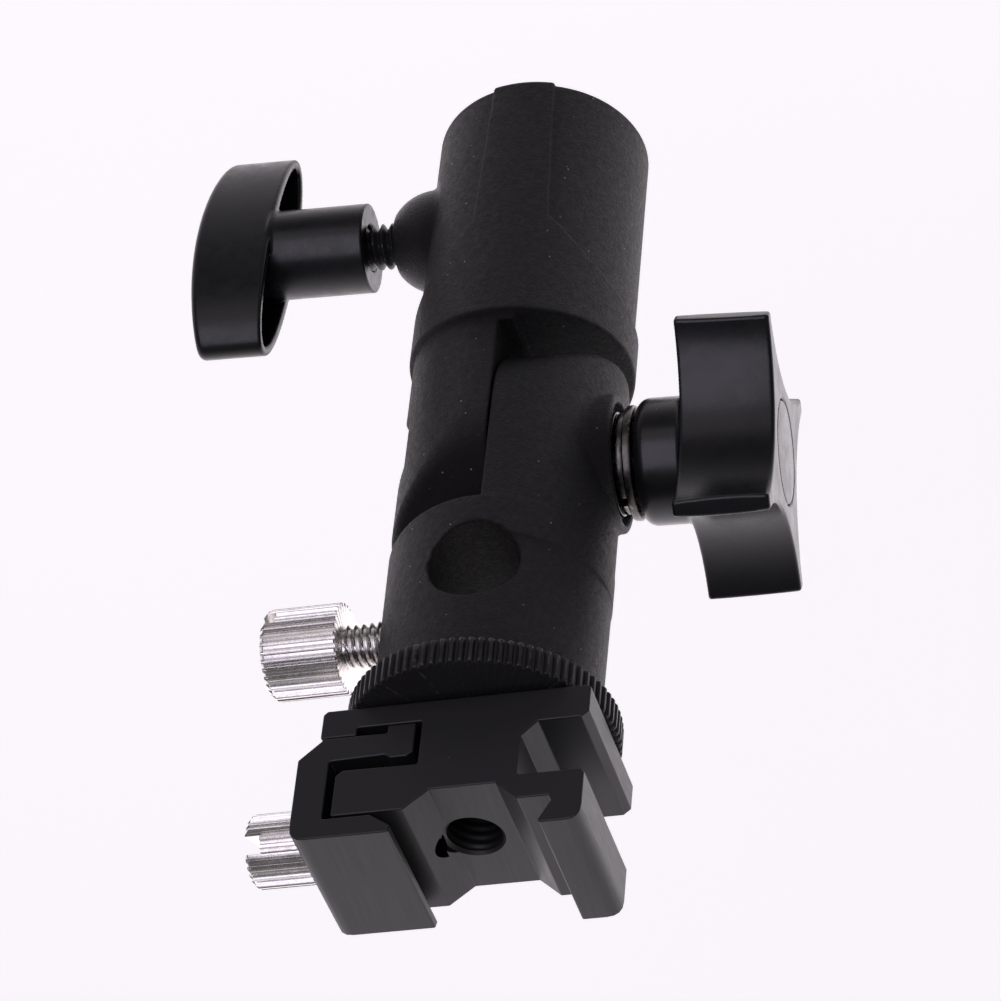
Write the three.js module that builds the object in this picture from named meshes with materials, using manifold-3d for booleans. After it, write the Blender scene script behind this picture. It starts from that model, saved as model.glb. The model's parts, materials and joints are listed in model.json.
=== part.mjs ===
// Umbrella swivel bracket: a light-stand socket, a tilting umbrella holder and a flash shoe.
// Millimetres, +Z from the stand socket's open end up to the flash shoe.
// The tilt axis and all thumb screws lie along X, and the umbrella hole lies along Y.
import * as THREE from "three";
import { mergeVertices } from "three/addons/utils/BufferGeometryUtils.js";
import Module from "manifold-3d";

const wasm = await Module();
wasm.setup();

// ---------------------------------------------------------------- driving dimensions
const GAP = 0.3; // clearance between neighbouring pieces
const BODY_R = 14; // both castings
const COLLAR_R = 14.6; // raised panel and swivel collar of the socket
const SPIGOT_R = 8.25; // socket bore for a 16 mm stand spigot
const SPIGOT_DEPTH = 36;
const PIVOT_Z = 55.8; // tilt axis
const LUG_END_R = 14.3; // rounded ends of both lugs, about the tilt axis
const SOCKET_SHOULDER_Z = 39.7;
const HOLDER_SHOULDER_Z = 72.4;
const SHOULDER_R = 70; // both shoulders are shallow arcs, hollow towards the tilt axis
const HOLDER_TOP_Z = 94.8;
const UMBRELLA_R = 5.6; // umbrella shaft hole
const UMBRELLA_Z = 81;
const THUMB_Z = 81.7; // umbrella screw
const THUMB_TURN = THREE.MathUtils.degToRad(3.5); // the umbrella screw's axis, turned from +X about Z
const LOCK_Z = 14.2; // stand lock screw
const RING_Z = 95.2;
const RING_T = 3.5;
const RING_R = 16.6;
const RING_TEETH = 88;
const SHOE_Z = 99.1; // underside of the flash shoe
const SHOE_LENGTH = 20;
const SHOE_TURN = THREE.MathUtils.degToRad(3.9); // how far the shoe stands turned on its stud

const M8 = { shank: 3.9, hole: 4.25 };
const M6 = { shank: 2.9, hole: 3.2 };
const M5 = { shank: 2.45, hole: 2.7 };
const QUARTER_INCH = { shank: 3.1, hole: 3.4 };

// ---------------------------------------------------------------- materials
const finish = (color, roughness, metalness) => ({ color, roughness, metalness });
const CAST = finish(0x1d1c1e, 0.75, 0.2); // powder-coated castings
const KNOB = finish(0x121214, 0.25, 0); // glossy moulded knobs
const WING = finish(0x151517, 0.4, 0); // semi-gloss moulded wing knob
const ANODISED = finish(0x2a292c, 0.45, 0.6); // shoe extrusions
const NICKEL = finish(0xc9c6c2, 0.25, 1); // plated thumb screws
const BLACK_STEEL = finish(0x1a1a1c, 0.4, 0.8); // lock screw and knurled ring
const WASHER = finish(0x4a4846, 0.25, 1); // dark plated washers of the tilt clamp
const STEEL = finish(0x8d8d90, 0.35, 1);
const BRASS = finish(0xb08d4a, 0.3, 1);
const FIBRE = finish(0x3a3128, 0.9, 0);
const NYLON = finish(0xd8d4c8, 0.5, 0);

// ---------------------------------------------------------------- solids and booleans
function solidOf(geometry) {
  const bare = geometry.clone();
  bare.deleteAttribute("normal");
  bare.deleteAttribute("uv");
  const merged = mergeVertices(bare, 1e-4);
  return new wasm.Manifold(
    new wasm.Mesh({
      numProp: 3,
      vertProperties: new Float32Array(merged.attributes.position.array),
      triVerts: new Uint32Array(merged.index.array),
    }),
  );
}

function geometryOf(solid) {
  const mesh = solid.getMesh();
  const geometry = new THREE.BufferGeometry();
  geometry.setAttribute("position", new THREE.BufferAttribute(mesh.vertProperties, 3));
  geometry.setIndex(new THREE.BufferAttribute(mesh.triVerts, 1));
  const flat = geometry.toNonIndexed();
  flat.computeVertexNormals();
  return flat;
}

const join = (...pieces) => geometryOf(pieces.map(solidOf).reduce((a, b) => a.add(b)));
const cut = (base, ...tools) =>
  geometryOf(tools.map(solidOf).reduce((a, b) => a.subtract(b), solidOf(base)));
const common = (a, b) => geometryOf(solidOf(a).intersect(solidOf(b)));

// A solid turned about Z from [radius, z] points that run upwards outside the axis.
function turned(points, segments = 40) {
  const profile = points.map(([r, z]) => new THREE.Vector2(r, z));
  return new THREE.LatheGeometry(profile, segments).rotateX(Math.PI / 2);
}

// A round bar about Z from z0 to z1, with its end edges chamfered.
function bar(radius, z0, z1, segments = 40, chamfer = 0) {
  const outline = chamfer
    ? [
        [0, z0],
        [radius - chamfer, z0],
        [radius, z0 + chamfer],
        [radius, z1 - chamfer],
        [radius - chamfer, z1],
        [0, z1],
      ]
    : [
        [0, z0],
        [radius, z0],
        [radius, z1],
        [0, z1],
      ];
  return turned(outline, segments);
}

const tube = (outer, inner, z0, z1, segments = 48) =>
  cut(bar(outer, z0, z1, segments), bar(inner, z0 - 1, z1 + 1, segments));

// An outline of [a, b] points drawn in the XY plane and extruded from z0 to z1.
function prism(points, z0, z1) {
  const shape = new THREE.Shape(points.map(([a, b]) => new THREE.Vector2(a, b)));
  const geometry = new THREE.ExtrudeGeometry(shape, { depth: z1 - z0, bevelEnabled: false });
  return geometry.translate(0, 0, z0);
}

// The same outline read as [y, z] and extruded along X, or as [x, z] and extruded along Y.
const prismX = (points, x0, x1) => prism(points, x0, x1).rotateZ(Math.PI / 2).rotateY(Math.PI / 2);
const prismY = (points, y0, y1) => prism(points, -y1, -y0).rotateX(Math.PI / 2);
const barX = (radius, x0, x1, z, segments = 32) =>
  bar(radius, x0, x1, segments).rotateY(Math.PI / 2).translate(0, 0, z);
const barY = (radius, y0, y1, z, segments = 32) =>
  bar(radius, y0, y1, segments).rotateX(-Math.PI / 2).translate(0, 0, z);

const arc = (cx, cy, radius, from, to, steps) =>
  Array.from({ length: steps + 1 }, (_, i) => {
    const angle = from + ((to - from) * i) / steps;
    return [cx + radius * Math.cos(angle), cy + radius * Math.sin(angle)];
  });

// A hexagon outline with the given width across its flats.
const hexagon = (acrossFlats) => arc(0, 0, acrossFlats / Math.sqrt(3), 0, (Math.PI * 5) / 3, 5);

// The outline of a straight knurl: a point in each groove and a point on each ridge.
function knurl(tip, depth, teeth) {
  return Array.from({ length: 2 * teeth }, (_, i) => {
    const radius = i % 2 ? tip : tip - depth;
    const angle = (i * Math.PI) / teeth;
    return [radius * Math.cos(angle), radius * Math.sin(angle)];
  });
}

function mesh(name, geometry, look) {
  const part = new THREE.Mesh(geometry, new THREE.MeshStandardMaterial(look));
  part.name = name;
  return part;
}

// A group whose own +Z points along +X (side = 1) or -X (side = -1) at height z.
function sideways(side, z, ...parts) {
  const group = new THREE.Group();
  group.position.z = z;
  group.rotation.y = (side * Math.PI) / 2;
  return group.add(...parts);
}

// ---------------------------------------------------------------- castings
const EDGE = 0.6; // chamfer on the castings' outer edges
const WIDE = 20; // reaches past every casting
const LUG_FACE_X = 0.2; // each lug stops this far from the middle plane
const DISC_R = 9.2;
const DISC_HALF = 1;
const POCKET_X = 6.8; // floor of the bolt head's pocket
const BOLT_HEAD = 13; // across its flats
const BOLT_HEAD_T = 4;
const BOSS_R = 8.8;
const BOSS_X = 14.2;
const BOSS_RECESS_R = 7.7; // the washers stand in a recess of the boss
const BOSS_RECESS_X = 13.2;
const STEP_WIDTH = 1.9; // ledge along the root of the socket's lug
const STEP_HEIGHT = 1.1;
const DOME_X = 13.1; // centre of the rounded boss round the stand lock screw
const DOME_R = 7;
const DOME_FACE_X = 19;

// Outline [y, z] of a column that ends in an arc hollow towards the tilt axis.
const hollowEnd = (base, shoulder, up) => {
  const half = Math.asin(WIDE / SHOULDER_R);
  const middle = (up * Math.PI) / 2;
  return [
    [-WIDE * up, base],
    [WIDE * up, base],
    ...arc(0, shoulder + up * SHOULDER_R, SHOULDER_R, -middle + half, -middle - half, 12),
  ];
};

// Outline [y, z] of a lug: straight from its root, round about the tilt axis at its end.
const lugOutline = (root, up) => [
  ...arc(0, PIVOT_Z, LUG_END_R, up > 0 ? 0 : Math.PI, up > 0 ? Math.PI : Math.PI * 2, 28),
  [-LUG_END_R * up, root],
  [LUG_END_R * up, root],
];

const frictionRecess = () => barX(DISC_R + GAP, -DISC_HALF - GAP, DISC_HALF + GAP, PIVOT_Z, 40);

// The raised panel, front and back: narrow at the open end, flared round the swivel collar.
const PANEL = [
  [4.1, 0],
  [5, 24.2],
  [10.3, 29.8],
  [COLLAR_R + 1, 34],
  [COLLAR_R + 1, 45],
];

function socketBody() {
  const panelOutline = [...PANEL, ...PANEL.toReversed().map(([x, z]) => [-x, z])];
  const column = join(
    bar(BODY_R, 0, PIVOT_Z + WIDE, 48, EDGE),
    common(bar(COLLAR_R, 0, PIVOT_Z, 48, EDGE), prismY(panelOutline, -WIDE, WIDE)),
  );
  const base = common(column, prismX(hollowEnd(-1, SOCKET_SHOULDER_Z, 1), -WIDE, WIDE));
  const lug = common(
    bar(BODY_R, 1, PIVOT_Z + WIDE, 48),
    prismX(lugOutline(SOCKET_SHOULDER_Z - 2, 1), LUG_FACE_X, WIDE),
  );
  const dome = new THREE.SphereGeometry(DOME_R, 24, 14).translate(DOME_X, 0, LOCK_Z);
  const domeFace = barX(WIDE, 10, DOME_FACE_X, LOCK_Z, 12);
  const step = common(
    bar(BODY_R, 1, PIVOT_Z, 48),
    prismX(hollowEnd(1, SOCKET_SHOULDER_Z + STEP_HEIGHT, 1), -STEP_WIDTH, 1),
  );
  return cut(
    join(base, lug, step, common(dome, domeFace)),
    bar(SPIGOT_R, -1, SPIGOT_DEPTH, 40),
    turned([[0, -1], [SPIGOT_R + 1.8, -1], [SPIGOT_R, 0.8], [0, 0.8]]),
    barX(QUARTER_INCH.hole, 0, 21, LOCK_Z),
    barX(M8.hole, -1, 15, PIVOT_Z),
    prism(hexagon(BOLT_HEAD + 2 * GAP), POCKET_X, 16).rotateY(Math.PI / 2).translate(0, 0, PIVOT_Z),
    frictionRecess(),
  );
}

function upperBody() {
  const column = bar(BODY_R, HOLDER_SHOULDER_Z - WIDE, HOLDER_TOP_Z, 48, EDGE);
  const base = common(column, prismX(hollowEnd(HOLDER_TOP_Z, HOLDER_SHOULDER_Z, -1), -WIDE, WIDE));
  const lug = common(
    bar(BODY_R, PIVOT_Z - WIDE, HOLDER_TOP_Z - 2, 48),
    prismX(lugOutline(HOLDER_SHOULDER_Z + 2, -1), -WIDE, -LUG_FACE_X),
  );
  return cut(
    join(base, lug, barX(BOSS_R, -BOSS_X, -5, PIVOT_Z, 40)),
    barX(M8.hole, -BOSS_X - 1, 1, PIVOT_Z),
    barX(BOSS_RECESS_R, -BOSS_X - 1, -BOSS_RECESS_X, PIVOT_Z, 40),
    frictionRecess(),
    barY(UMBRELLA_R, -WIDE, WIDE, UMBRELLA_Z, 40),
    barX(M6.hole, 0, BODY_R + 1, THUMB_Z).rotateZ(THUMB_TURN),
    bar(QUARTER_INCH.hole, HOLDER_TOP_Z - 7, HOLDER_TOP_Z + 1, 32),
  );
}

// ---------------------------------------------------------------- tilt clamp
const WASHER_R = 7.3;
const INNER_WASHER_R = 6.6;
const SPRING_WASHER_R = 6.4;
const HUB_START = 16.65; // distance of the star knob's hub from the middle plane
const STAR_START = 23;
const STAR_END = 34.9;
const HUB_R = 8.05;
const STAR_TIP_R = 18.5;
const STAR_TIP_HALF = 1.25;
const STAR_WAIST_R = 9.1;
const STAR_PHASE = THREE.MathUtils.degToRad(15);
const CAP_R = 6.5;

// A lobe's tip and the hollow flank after it, four times round.
function starOutline() {
  const tip = Math.asin(STAR_TIP_HALF / STAR_TIP_R);
  const reach = STAR_TIP_R * Math.cos(Math.PI / 4 - tip);
  const width = STAR_TIP_R * Math.sin(Math.PI / 4 - tip);
  const centre = (reach ** 2 + width ** 2 - STAR_WAIST_R ** 2) / (2 * (reach - STAR_WAIST_R));
  const radius = centre - STAR_WAIST_R;
  const half = Math.asin(width / radius);
  const flank = arc(centre, 0, radius, Math.PI + half, Math.PI - half, 14);
  return [0, 1, 2, 3].flatMap((quarter) => {
    const turn = STAR_PHASE + (quarter * Math.PI) / 2;
    const [c, s] = [Math.cos(turn), Math.sin(turn)];
    return flank.map(([x, y]) => [x * c - y * s, x * s + y * c]);
  });
}

function tiltClamp() {
  const knob = cut(
    join(bar(HUB_R, HUB_START, STAR_START + 1, 40, 0.5), prism(starOutline(), STAR_START, STAR_END)),
    bar(5.5, HUB_START - 1, 27.3, 32),
    bar(M8.hole, HUB_START - 1, 32.2, 32),
    bar(CAP_R + GAP, STAR_END - 1.3, STAR_END + 1, 40),
  );
  const split = new THREE.BoxGeometry(5, 0.9, 4).translate(6, 0, 14.7);
  const bolt = join(
    bar(M8.shank, -POCKET_X - 0.5, 29.5, 32, 0.5),
    prism(hexagon(BOLT_HEAD), -POCKET_X - GAP - BOLT_HEAD_T, -POCKET_X - GAP),
  );
  return sideways(
    -1,
    PIVOT_Z,
    mesh("tilt_bolt", bolt, STEEL),
    mesh("lug_friction_disc", tube(DISC_R, M8.hole, -DISC_HALF, DISC_HALF, 40), FIBRE),
    mesh("tilt_inner_washer", tube(INNER_WASHER_R, M8.hole, 13.3, 14.1, 40), WASHER),
    mesh("tilt_spring_washer", cut(tube(SPRING_WASHER_R, M8.hole, 14.2, 15.25), split), WASHER),
    mesh("tilt_flat_washer", tube(WASHER_R, M8.hole, 15.35, 16.5, 40), WASHER),
    mesh("tilt_knob", knob, KNOB),
    mesh("tilt_knob_insert", tube(5.2, M8.hole, HUB_START + GAP, 27, 32), BRASS),
    mesh("tilt_knob_cap", bar(CAP_R, STAR_END - 1, STAR_END + 0.1, 40, 0.2), KNOB),
  );
}

// ---------------------------------------------------------------- stand lock
const WING_HALF_LENGTH = 18.85;
const WING_HALF_WIDTH = 5.9;
const WING_WALL = 1.4;
const WING_RIM_X = 35.1;
const WING_CROWN_X = 45.6;
const WING_CROWN_SAG = 1.65;
const WING_TURN = THREE.MathUtils.degToRad(5.3);
const LOCK_HUB_X = 22.6;
const LOCK_HUB_R = 6;
const ROOT_R = 3.8; // knurled root of the screw, moulded into the knob

const ellipse = (a, b, steps) =>
  Array.from({ length: steps }, (_, i) => {
    const angle = (i * Math.PI * 2) / steps;
    return [a * Math.cos(angle), b * Math.sin(angle)];
  });

function wingKnob() {
  const crownR = (WING_HALF_LENGTH ** 2 + WING_CROWN_SAG ** 2) / (2 * WING_CROWN_SAG);
  const half = Math.asin((WING_HALF_LENGTH + 1) / crownR);
  const side = [
    [-WING_HALF_LENGTH - 1, WING_RIM_X],
    [WING_HALF_LENGTH + 1, WING_RIM_X],
    ...arc(0, WING_CROWN_X - crownR, crownR, Math.PI / 2 - half, Math.PI / 2 + half, 16),
  ];
  const head = common(
    prism(ellipse(WING_HALF_LENGTH, WING_HALF_WIDTH, 56), WING_RIM_X, WING_CROWN_X + 1),
    prismY(side, -WIDE, WIDE),
  );
  const hollow = prism(
    ellipse(WING_HALF_LENGTH - WING_WALL, WING_HALF_WIDTH - WING_WALL, 48),
    WING_RIM_X - 1,
    WING_RIM_X + 6.5,
  );
  return cut(
    join(cut(head, hollow), bar(LOCK_HUB_R, LOCK_HUB_X, WING_RIM_X + 7, 40, 0.4)),
    bar(QUARTER_INCH.hole, LOCK_HUB_X - 1, 27, 32),
    bar(ROOT_R + GAP, 26.2, 38.6, 32),
  ).rotateZ(WING_TURN);
}

function standLock() {
  const screw = join(bar(QUARTER_INCH.shank, 11.4, 27, 32, 0.4), bar(ROOT_R, 26.5, 38.3, 32));
  return sideways(
    1,
    LOCK_Z,
    mesh("stand_lock_knob", wingKnob(), WING),
    mesh("stand_lock_screw", screw, BLACK_STEEL),
    mesh("stand_lock_pad", bar(2.6, SPIGOT_R + 0.35, 11.1, 32, 0.3), BRASS),
  );
}

// ---------------------------------------------------------------- umbrella screw
// A slotted thumb screw about Z: straight-knurled head from z0 to z1, shank from tip to z0.
function thumbScrew(headR, teeth, z0, z1, shank, tip, slot, slotTurn) {
  const head = common(prism(knurl(headR, 0.45, teeth), z0, z1), bar(headR, z0, z1, teeth, 0.8));
  const kerf = new THREE.BoxGeometry(slot, headR * 3, 3.6).rotateZ(slotTurn).translate(0, 0, z1);
  return join(cut(head, kerf), bar(shank, tip, z0 + 0.5, 32, 0.3));
}

function umbrellaScrew() {
  const group = new THREE.Group();
  group.rotation.z = THUMB_TURN;
  return group.add(
    sideways(
      1,
      THUMB_Z,
      mesh("umbrella_screw", thumbScrew(5.75, 32, 18.9, 28.7, M6.shank, 8.6, 1.6, 0.35), NICKEL),
      mesh("umbrella_screw_tip", bar(2.6, 6.2, 8.3, 32, 0.4), NYLON),
    ),
  );
}

// ---------------------------------------------------------------- flash shoe
const CLAMP_V = 0.4; // clamp screw's axis in the shoe: Y and height above its underside
const CLAMP_W = 12;
const CLAMP_TIP = 5.2; // distance of its end from the shoe's through hole's axis
const CLAMP_HOLE_END = 3.6; // the tapped hole ends in the slope of the trough, short of the through hole
const WALL_U = 14.4; // outer wall of the block's left shoulder
const SEAT_W = 15.5; // seat of the flash foot
const FLOOR_W = 13; // trough floor under the foot
const SLIDE_GAP = 0.1; // between the jaw and the flange it slides on

// Profile [x, height]: a flange with a key recess, a left shoulder under the jaw's lip, a trough
// between the two foot seats, a hooked fixed lip and a groove in the right side.
const BLOCK = [
  [-15.6, 0],
  [16.4, 0],
  [16.9, 0.5],
  [16.9, 3.8],
  [16.7, 4],
  [12.4, 4],
  [12.4, 2.9],
  [4.4, 2.9],
  [4.4, 9.1],
  [13.6, 9],
  [WALL_U, 9.8],
  [WALL_U, SEAT_W],
  [5.6, SEAT_W],
  [2.6, FLOOR_W],
  [-5.4, FLOOR_W],
  [-8.2, SEAT_W],
  [-12, SEAT_W],
  [-12.3, 16.2],
  [-10.9, 18.8],
  [-11.1, 19.2],
  ...arc(-14, 17.2, 2, Math.PI / 2, Math.PI, 4),
  [-16, 12.6],
  [-15.6, 12.1],
  [-7.95, 12.1],
  [-7.95, 6.5],
  [-9.9, 4.6],
  [-15.1, 4.6],
  [-16, 3.8],
  [-16, 0.4],
];

// Profile of the jaw: an arm with a key under the flange, an outer wall and a hooked lip.
const JAW = [
  [5.1, 2.9 + SLIDE_GAP],
  [8.6, 2.9 + SLIDE_GAP],
  [8.6, 4 + SLIDE_GAP],
  [16.4, 4 + SLIDE_GAP],
  [19.35, 6.9],
  ...arc(17.3, 16.5, 2, 0, Math.PI / 2, 4),
  [7.1, 18.5],
  [6.9, 17.6],
  [9.5, SEAT_W + GAP],
  [15.4, SEAT_W + GAP],
  [15.4, 7.5],
  [8.6, 7.3],
  [7.9, 7.8],
  [5.9, 7.8],
  [5.1, 7.2],
];

function flashShoe() {
  const half = SHOE_LENGTH / 2;
  const clampBar = (radius, u0, u1) => barX(radius, u0, u1, CLAMP_W).translate(0, CLAMP_V, 0);
  const rim = QUARTER_INCH.hole;
  const mouth = turned(
    [
      [0, FLOOR_W - 0.4],
      [rim, FLOOR_W - 0.4],
      [rim + 0.8, FLOOR_W + 0.4],
      [0, FLOOR_W + 0.4],
    ],
    32,
  );
  const block = cut(
    prismY(BLOCK, -half, half),
    bar(rim, -1, FLOOR_W + 1, 32),
    mouth,
    clampBar(M5.hole, CLAMP_HOLE_END, 16),
  );
  const jaw = cut(prismY(JAW, -half, half), clampBar(M5.hole, 14, 21), clampBar(3.4, 14, 16.1));
  const shoe = new THREE.Group();
  shoe.position.z = SHOE_Z;
  shoe.rotation.z = SHOE_TURN;
  const clamp = new THREE.Group();
  clamp.position.set(0, CLAMP_V, CLAMP_W);
  clamp.rotation.y = Math.PI / 2;
  clamp.add(
    mesh("shoe_clamp_screw", thumbScrew(4.5, 26, 19.65, 27.4, M5.shank, CLAMP_TIP, 2.3, -0.42), NICKEL),
    mesh("shoe_clamp_clip", tube(3.15, M5.shank + 0.2, 15.55, 15.95, 32), STEEL),
  );
  return shoe.add(mesh("shoe_block", block, ANODISED), mesh("shoe_jaw", jaw, ANODISED), clamp);
}

function lockingRing() {
  const rim = prism(knurl(RING_R, 0.5, RING_TEETH), RING_Z, RING_Z + RING_T);
  return cut(rim, bar(QUARTER_INCH.hole, RING_Z - 1, RING_Z + RING_T + 1, 24));
}

// ---------------------------------------------------------------- assembly
const bracket = new THREE.Group();
bracket.add(
  mesh("socket_body", socketBody(), CAST),
  mesh("upper_body", upperBody(), CAST),
  tiltClamp(),
  standLock(),
  umbrellaScrew(),
  mesh("locking_ring", lockingRing(), BLACK_STEEL),
  mesh("shoe_stud", bar(QUARTER_INCH.shank, HOLDER_TOP_Z - 6.6, SHOE_Z + 6.4, 32, 0.4), STEEL),
  flashShoe(),
);

export default bracket;
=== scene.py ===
import json
import math
from itertools import product

import bpy
import numpy as np
from mathutils import Matrix, Vector


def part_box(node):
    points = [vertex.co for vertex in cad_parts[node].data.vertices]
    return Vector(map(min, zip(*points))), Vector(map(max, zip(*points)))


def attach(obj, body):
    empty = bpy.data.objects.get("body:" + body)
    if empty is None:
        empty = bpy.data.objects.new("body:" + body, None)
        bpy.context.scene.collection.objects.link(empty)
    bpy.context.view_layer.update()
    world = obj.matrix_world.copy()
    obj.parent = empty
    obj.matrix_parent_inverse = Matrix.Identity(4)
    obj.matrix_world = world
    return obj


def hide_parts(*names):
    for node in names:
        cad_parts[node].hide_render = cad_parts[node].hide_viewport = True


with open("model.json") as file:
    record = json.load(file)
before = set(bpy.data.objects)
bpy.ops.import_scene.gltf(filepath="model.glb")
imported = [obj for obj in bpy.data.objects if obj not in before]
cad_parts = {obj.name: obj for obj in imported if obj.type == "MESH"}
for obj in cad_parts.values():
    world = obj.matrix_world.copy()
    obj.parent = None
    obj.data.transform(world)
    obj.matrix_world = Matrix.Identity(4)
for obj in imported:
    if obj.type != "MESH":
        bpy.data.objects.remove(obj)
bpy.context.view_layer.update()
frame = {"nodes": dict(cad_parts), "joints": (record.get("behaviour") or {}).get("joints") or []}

MM = 0.001


# ------------------------------------------------------------------ places that the frame gives, in mm
def pivot_height(joint):
    """The height of a joint's pivot above the origin."""
    place = next(j["pos_m"] for j in frame["joints"] if j["name"] == joint)
    return round(place[2] / MM, 2)


def corners(node):
    """A CAD node's lowest and highest corners at rest."""
    return [[round(value / MM, 2) for value in corner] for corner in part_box(node)]


def span_to_left(node):
    """How far a node's near and far ends stand from the middle plane on the star knob's side."""
    low, high = corners(node)
    return -high[0], -low[0]


PIVOT_Z = pivot_height("tilt")
LOCK_Z = pivot_height("lock_knob_turn")
THUMB_Z = pivot_height("umbrella_screw_turn")
RING_Z = pivot_height("ring_turn")
SHOE_Z = pivot_height("shoe_turn")
SOCKET_BOX = corners("socket_body")
HOLDER_BOX = corners("upper_body")
WING_BOX = corners("stand_lock_knob")
COLLAR_R = SOCKET_BOX[1][1]
DOME_FACE_X = SOCKET_BOX[1][0]
BODY_R = HOLDER_BOX[1][1]
BOSS_X = -HOLDER_BOX[0][0]
HOLDER_TOP_Z = HOLDER_BOX[1][2]
RING_TOP_Z = corners("locking_ring")[1][2]
HUB_START, STAR_END = span_to_left("tilt_knob")
CAP_START = span_to_left("tilt_knob_cap")[0]
WING_HUB_START, WING_CROWN = WING_BOX[0][0], WING_BOX[1][0]
LOCK_SCREW_START = corners("stand_lock_screw")[0][0]

# ------------------------------------------------------------------ driving dimensions, in mm
SPIGOT_R = 8.25
SPIGOT_DEPTH = 36.0
SPIGOT_CHAMFER = 0.8
LUG_END_R = 14.3
LUG_FACE_X = 0.13
SOCKET_SHOULDER_Z = 39.7
HOLDER_SHOULDER_Z = 72.4
SHOULDER_R = 70.0
HOLDER_TOP_R = 13.8
UMBRELLA_R = 5.6
UMBRELLA_Z = 81.0
THUMB_TURN = math.radians(3.5)
THUMB_BORE_R = 3.2
LOCK_BORE_R = 3.3
DOME_START_X = 6.0
DOME_X = 13.1
DOME_R = 7.0
RING_R = 16.6
RING_TEETH = 88
SHOE_HALF_LENGTH = 10.0
SHOE_TURN = math.radians(3.9)
TILT_BORE_R = 4.25
STUD_BORE_R = 3.4
QUARTER_INCH_R = 3.1
QUARTER_INCH_PITCH = 1.27
KNURL_DEPTH = 0.5


# ------------------------------------------------------------------ distance fields, in mm
# A field is below zero inside the solid. Each join, cut or meet rounds its edge by radius.
def join(a, b, radius=0.0):
    if not radius:
        return np.minimum(a, b)
    rounding = np.hypot(np.maximum(radius - a, 0), np.maximum(radius - b, 0))
    return np.maximum(radius, np.minimum(a, b)) - rounding


def meet(a, b, radius=0.0):
    return -join(-a, -b, radius)


def cut(a, b, radius=0.0):
    return meet(a, -b, radius)


def slab(value, low, high):
    return np.abs(value - (low + high) / 2) - (high - low) / 2


def round_bar(across, radius, along, low, high, edge):
    return meet(across - radius, slab(along, low, high), edge)


def hexagon(a, b, across_flats):
    sides = [a * math.cos(t) + b * math.sin(t) for t in np.radians([30, 90, 150])]
    return np.maximum.reduce([np.abs(side) for side in sides]) - across_flats / 2


def surface_nets(field, low, high, step):
    """Vertices and quads of the surface where field(x, y, z) is zero."""
    axes = [np.arange(a - 2 * step, b + 3 * step, step) for a, b in zip(low, high)]
    values = field(*np.meshgrid(*axes, indexing="ij"))
    inside = values < 0
    cells = tuple(n - 1 for n in values.shape)

    def corner(array, offset):
        return array[tuple(slice(o, o + n) for o, n in zip(offset, cells))]

    filled = sum(corner(inside, offset).astype(int) for offset in product((0, 1), repeat=3))
    active = (filled > 0) & (filled < 8)
    index = np.full(cells, -1)
    index[active] = np.arange(active.sum())
    total = np.zeros((active.sum(), 3))
    crossings = np.zeros((active.sum(), 1))
    for axis in range(3):
        for pair in product((0, 1), repeat=2):
            start = list(pair[:axis]) + [0] + list(pair[axis:])
            end = [s + (i == axis) for i, s in enumerate(start)]
            a = corner(values, start)[active]
            b = corner(values, end)[active]
            crossed = (a < 0) != (b < 0)
            share = np.where(crossed, a / np.where(crossed, a - b, 1), 0)
            point = np.array(start, float) + share[:, None] * (np.arange(3) == axis)
            total += point * crossed[:, None]
            crossings += crossed[:, None]
    origin = np.array([a[0] for a in axes])
    vertices = origin + (np.argwhere(active) + total / crossings) * step

    quads = []
    for axis in range(3):
        u, v = (axis + 1) % 3, (axis + 2) % 3
        near = [slice(1, -1)] * 3
        far = [slice(1, -1)] * 3
        near[axis], far[axis] = slice(0, -1), slice(1, None)
        a, b = inside[tuple(near)], inside[tuple(far)]
        places = np.argwhere(a != b)
        outward = a[a != b]
        places = places + (np.arange(3) != axis)
        ring = []
        for du, dv in ((-1, -1), (0, -1), (0, 0), (-1, 0)):
            cell = places.copy()
            cell[:, u] += du
            cell[:, v] += dv
            ring.append(index[tuple(cell.T)])
        quad = np.stack(ring, 1)
        quad[~outward] = quad[~outward][:, ::-1]
        quads.append(quad)
    return vertices, np.concatenate(quads)


def onto_surface(field, points, step):
    """The points moved along the field's slope until they lie on the surface."""
    nudge = step * 0.05
    for _ in range(3):
        slope = np.empty_like(points)
        for axis in range(3):
            shift = np.zeros(3)
            shift[axis] = nudge
            ahead, behind = field(*(points + shift).T), field(*(points - shift).T)
            slope[:, axis] = (ahead - behind) / (2 * nudge)
        steepness = np.maximum((slope**2).sum(1), 0.3)
        move = (field(*points.T) / steepness)[:, None] * slope
        points = points - np.clip(move, -step / 2, step / 2)
    return points


def field_mesh(name, field, low, high, step, rounds=2):
    """A mesh of the field's surface, its vertices spread evenly and lying on the surface."""
    points, quads = surface_nets(field, low, high, step)
    for _ in range(rounds):
        total = np.zeros_like(points)
        count = np.zeros(len(points))
        for i in range(4):
            for j in (1, 3):
                np.add.at(total, quads[:, i], points[quads[:, (i + j) % 4]])
                np.add.at(count, quads[:, i], 1)
        points = onto_surface(field, total / count[:, None], step)
    return mesh_of(name, points, quads)


def mesh_of(name, points, faces):
    mesh = bpy.data.meshes.new(name)
    mesh.from_pydata([Vector(p) * MM for p in points], [], [list(map(int, f)) for f in faces])
    mesh.validate()
    mesh.polygons.foreach_set("use_smooth", [True] * len(mesh.polygons))
    return mesh


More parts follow.
